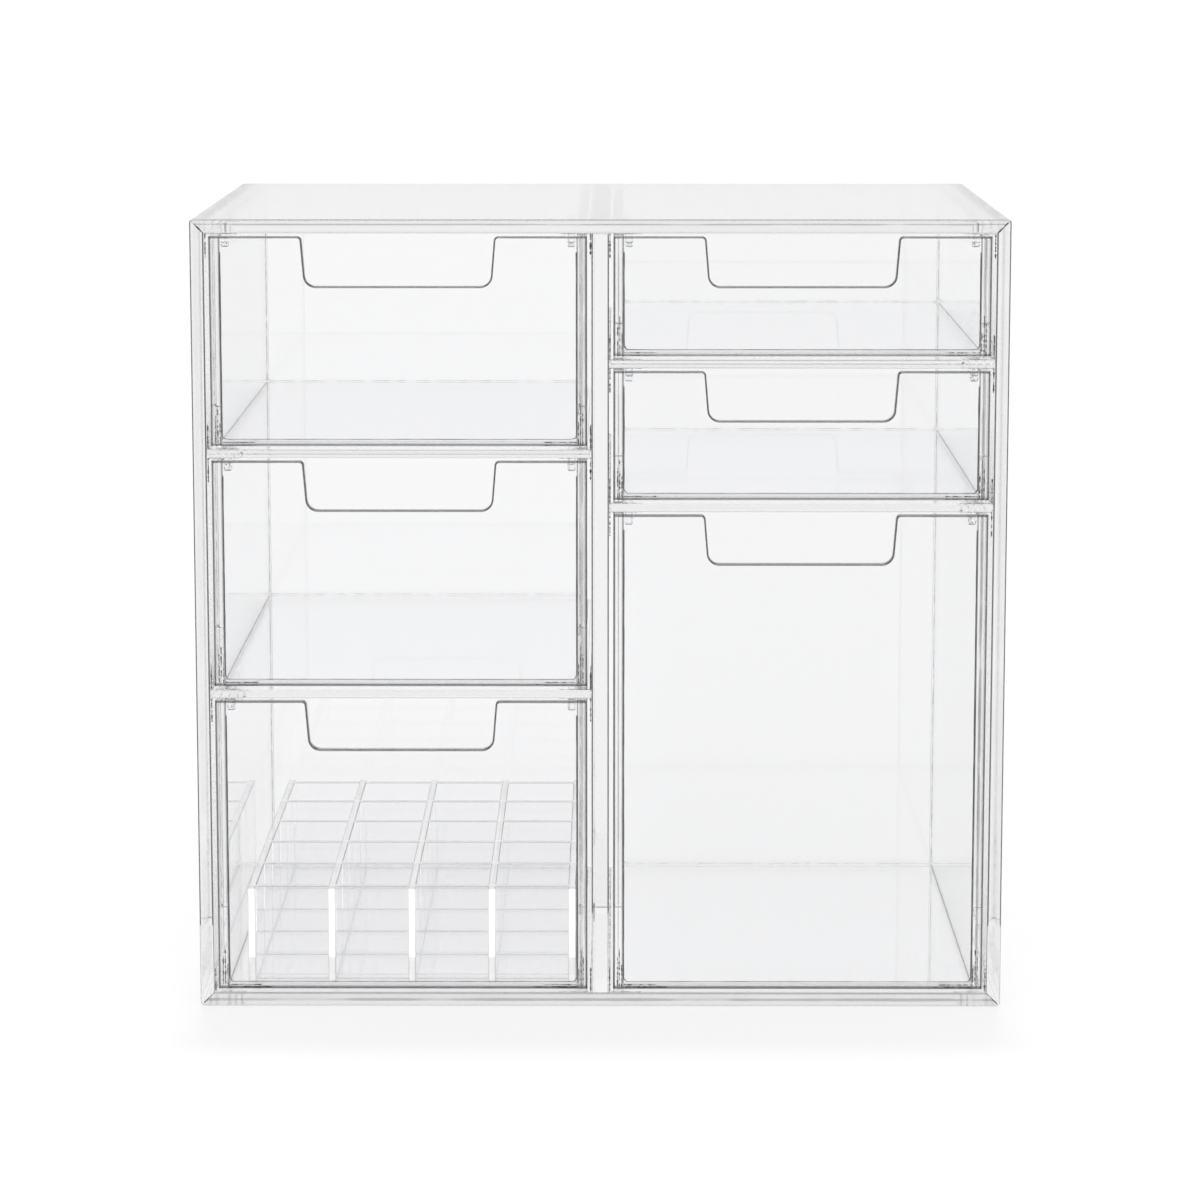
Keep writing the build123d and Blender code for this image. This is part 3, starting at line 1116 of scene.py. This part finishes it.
def make_drawer_beads(body, seed, dark, pale, sheets):
    """One bead behind a drawer's front and one before its back, down, along the floor and up; the
    front one's cement is painted dark as painted shade.
    """
    left, right, front, back, floor, rim = drawer_inside(body)
    radius = sheets.bead_radius
    under_rim = 0.006
    low, high = floor + radius, rim - under_rim
    for name, y, cement, size in (
        ("front", front + radius, dark, radius),
        ("rear", back - radius, pale, radius * sheets.rear_bead_share),
    ):
        run = [(left, y, high), (left, y, low), (right, y, low), (right, y, high)]
        make_beads(
            f"{body}_{name}_cement", body, "drawer_clear", [run], Bead_Radius=size,
            Least_Share=0.65, Level_Share=sheets.bead_level_share, Lump_Length=0.008,
            Corner_Radius=0.0012, Seed=seed + 0.5, Cement=cement,
        )


class ORGANIZER_OT_drawer_cement(bpy.types.Operator):
    """Put the cement in the drawers, behind their fronts and before their backs"""

    bl_idname = "organizer.cement_drawers"
    bl_label = "Cement Drawers"

    def execute(self, context):
        sheets = context.scene.organizer_sheets
        # Painted shade: the cement behind the fronts is painted dark, the cement before the backs
        # is pale.
        dark = cement_material("cement_front_shaded", sheets.shaded_bead_tint, sheets)
        pale = cement_material("cement_rear", sheets.pale_bead_tint, sheets)
        bodies = sorted(b for b in frame["bodies"] if b.endswith("_drawer"))
        for seed, body in enumerate(bodies):
            make_drawer_crumbs(body, seed, dark, sheets)
            make_drawer_beads(body, seed, dark, pale, sheets)
        return {"FINISHED"}


class ORGANIZER_OT_insert(bpy.types.Operator):
    """Finish the sheets of the lipstick divider"""

    bl_idname = "organizer.finish_insert"
    bl_label = "Finish Lipstick Divider"

    def execute(self, context):
        sheets = context.scene.organizer_sheets
        lines = [sheets.insert_line] * 3
        for node in nodes_of("lipstick_insert"):
            (material,) = finish_nodes([node], node, sheets.insert_tint, lines, sheets)
            if "_long_" not in node:
                continue
            tree = material.node_tree
            # Painted light: the long sheets' front ends are darkened and glow by emission where
            # they face outwards, less in their lowest part.
            masks = sheet_ends(
                tree, Low_Z=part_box(node)[0][2] + sheets.end_clear, Low_Share=sheets.end_low_share
            )
            tint_where(material, masks["Bright End"], sheets.end_tint)
            inside = add(tree, "ShaderNodeNewGeometry").outputs["Backfacing"]
            outwards = calculate(tree, "SUBTRACT", 1.0, inside)
            painted_glow = calculate(tree, "MULTIPLY", masks["Bright End"], outwards)
            feed(
                tree, shader_of(material),
                Emission_Color=mix_colours(tree, painted_glow, BLACK, WHITE),
                Emission_Strength=sheets.end_painted_glow,
            )
        return {"FINISHED"}


OPERATORS = (
    ORGANIZER_OT_stage,
    ORGANIZER_OT_case,
    ORGANIZER_OT_case_cement,
    ORGANIZER_OT_stops,
    ORGANIZER_OT_drawers,
    ORGANIZER_OT_drawer_cement,
    ORGANIZER_OT_insert,
)


class ORGANIZER_PT_panel(bpy.types.Panel):
    """The organizer's steps, in order"""

    bl_idname = "ORGANIZER_PT_panel"
    bl_label = "Clear Drawer Organizer"
    bl_space_type = "VIEW_3D"
    bl_region_type = "UI"
    bl_category = "Organizer"

    def draw(self, context):
        for operator in OPERATORS:
            self.layout.operator(operator.bl_idname)


CLASSES = (OrganizerSheets, OrganizerStage, *OPERATORS, ORGANIZER_PT_panel)


def register():
    for cls in CLASSES:
        bpy.utils.register_class(cls)
    bpy.types.Scene.organizer_sheets = PointerProperty(type=OrganizerSheets)
    bpy.types.Scene.organizer_stage = PointerProperty(type=OrganizerStage)


def unregister():
    del bpy.types.Scene.organizer_stage
    del bpy.types.Scene.organizer_sheets
    for cls in reversed(CLASSES):
        bpy.utils.unregister_class(cls)


def main():
    register()
    bpy.ops.organizer.set_stage()
    bpy.ops.organizer.finish_case()
    bpy.ops.organizer.cement_case()
    bpy.ops.organizer.finish_stops()
    bpy.ops.organizer.finish_drawers()
    bpy.ops.organizer.cement_drawers()
    bpy.ops.organizer.finish_insert()


if __name__ == "__main__":
    main()
